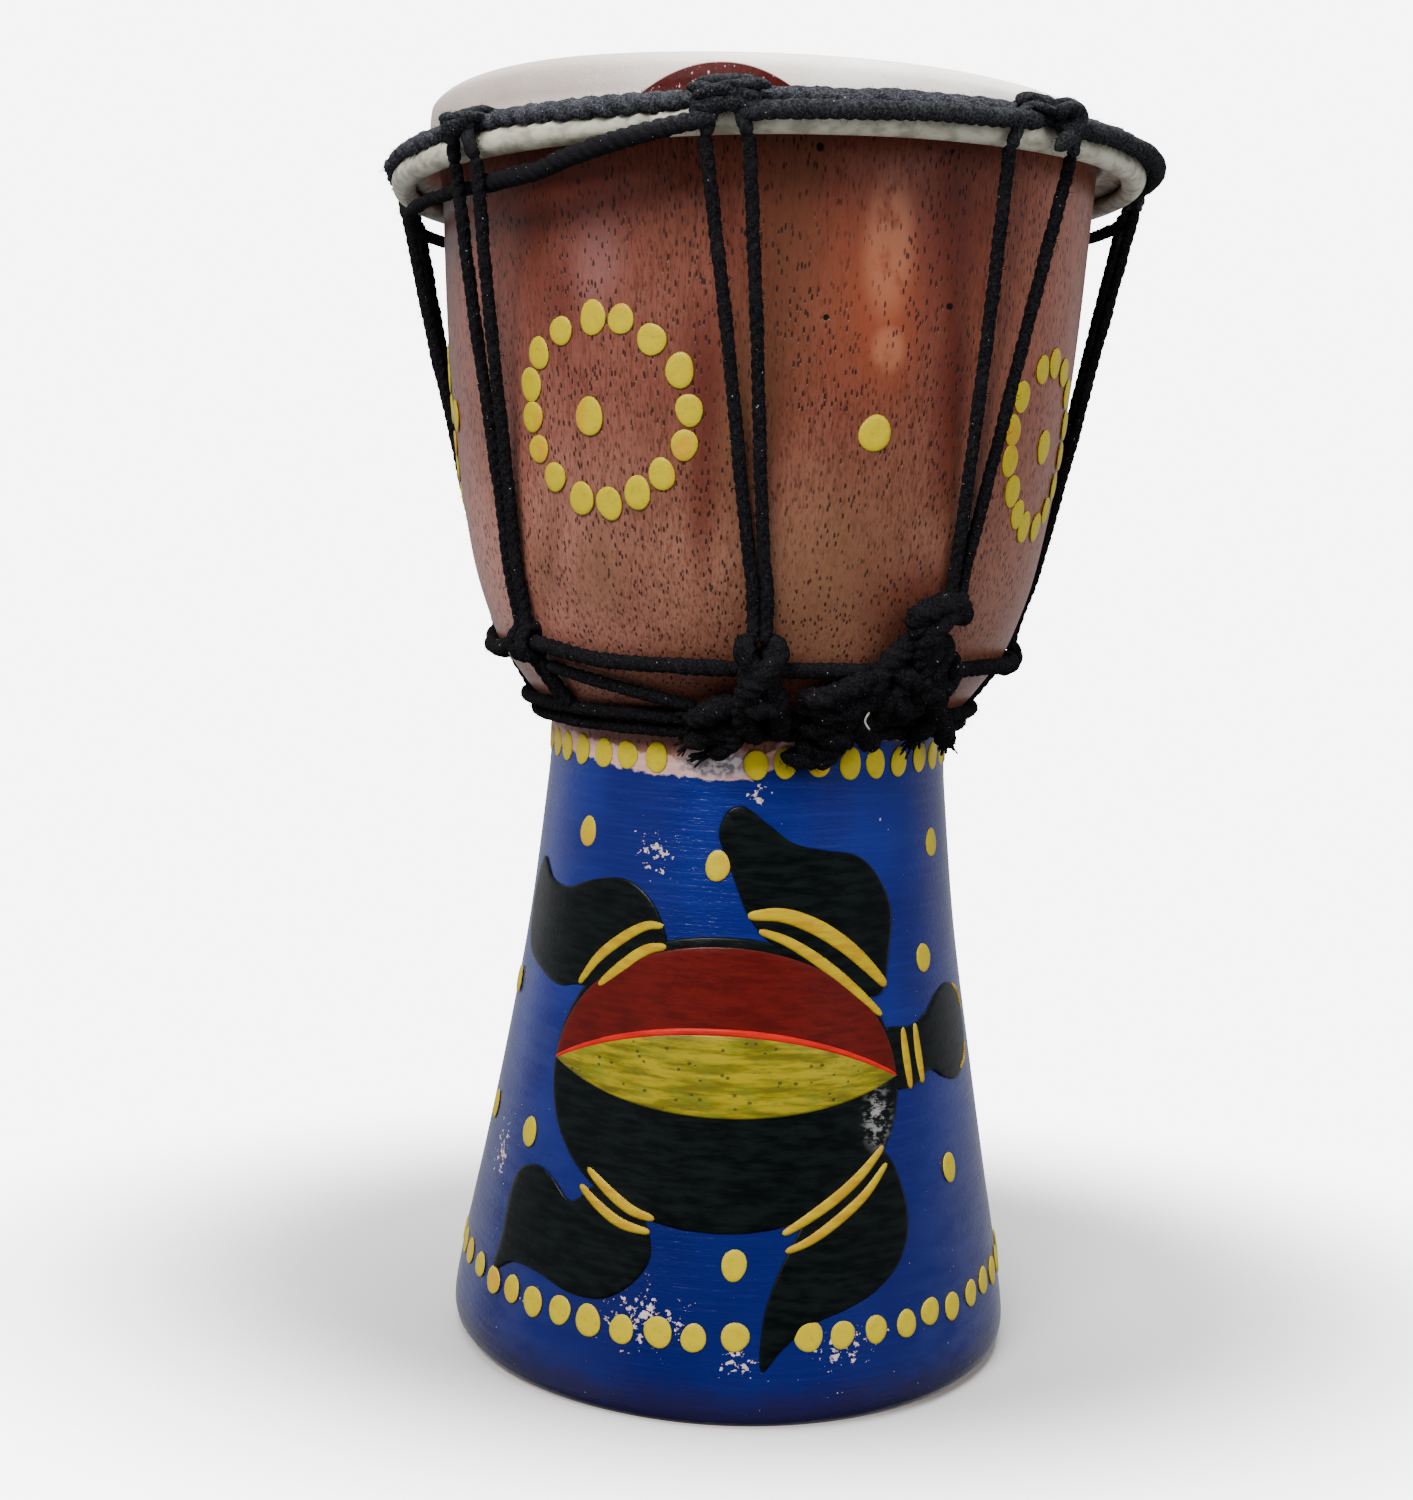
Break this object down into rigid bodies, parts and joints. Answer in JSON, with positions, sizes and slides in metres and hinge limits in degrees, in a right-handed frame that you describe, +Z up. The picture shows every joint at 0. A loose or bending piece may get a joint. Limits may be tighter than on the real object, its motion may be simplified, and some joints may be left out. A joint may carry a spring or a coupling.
{
  "type": "djembe",
  "caption": "Small goblet-shaped wooden hand drum with a skin head, pulled tight by black cord laced between a crown rope and a ring of cord at the waist.",
  "frame": {"origin": "centre of the foot, on the floor it stands on", "axes": "+Z up along the turning axis of the shell, -Y towards the front, where the big lower knot and the painted figure are, +X to the right of the front"},
  "size_m": [0.1259, 0.1257, 0.2],
  "materials": {
    "wood": "stained and varnished, with the foot painted in gloss blue",
    "skin": "raw hide, scraped and dried, matt",
    "wire": "plain drawn wire",
    "cord": "matt braided black cord, slightly dusty"
  },
  "bodies": {
    "root": {"shell": "wood", "drumhead_skin": "skin", "flesh_hoop": "wire", "crown_rope": "cord", "hitch_1": "cord", "hitch_2": "cord", "hitch_3": "cord", "hitch_4": "cord", "hitch_5": "cord", "hitch_6": "cord", "hitch_7": "cord", "hoop_span_1": "cord", "hoop_span_2": "cord", "hoop_span_3": "cord", "hoop_span_4": "cord", "hoop_span_5": "cord", "hoop_span_6": "cord", "hoop_span_7": "cord", "tension_cord_1a": "cord", "tension_cord_1b": "cord", "tension_cord_2a": "cord", "tension_cord_2b": "cord", "tension_cord_3a": "cord", "tension_cord_3b": "cord", "tension_cord_4a": "cord", "tension_cord_4b": "cord", "tension_cord_5a": "cord", "tension_cord_5b": "cord", "tension_cord_6a": "cord", "tension_cord_6b": "cord", "tension_cord_7a": "cord", "tension_cord_7b": "cord", "waist_cord": "cord", "neck_turn_lower": "cord", "neck_turn_upper": "cord", "waist_wrap_1": "cord", "waist_wrap_2": "cord", "waist_wrap_5": "cord", "waist_wrap_6": "cord", "waist_wrap_7": "cord", "slant_cord": "cord", "front_knot": "cord", "side_knot": "cord", "lashing_cord": "cord"}
  },
  "joints": []
}
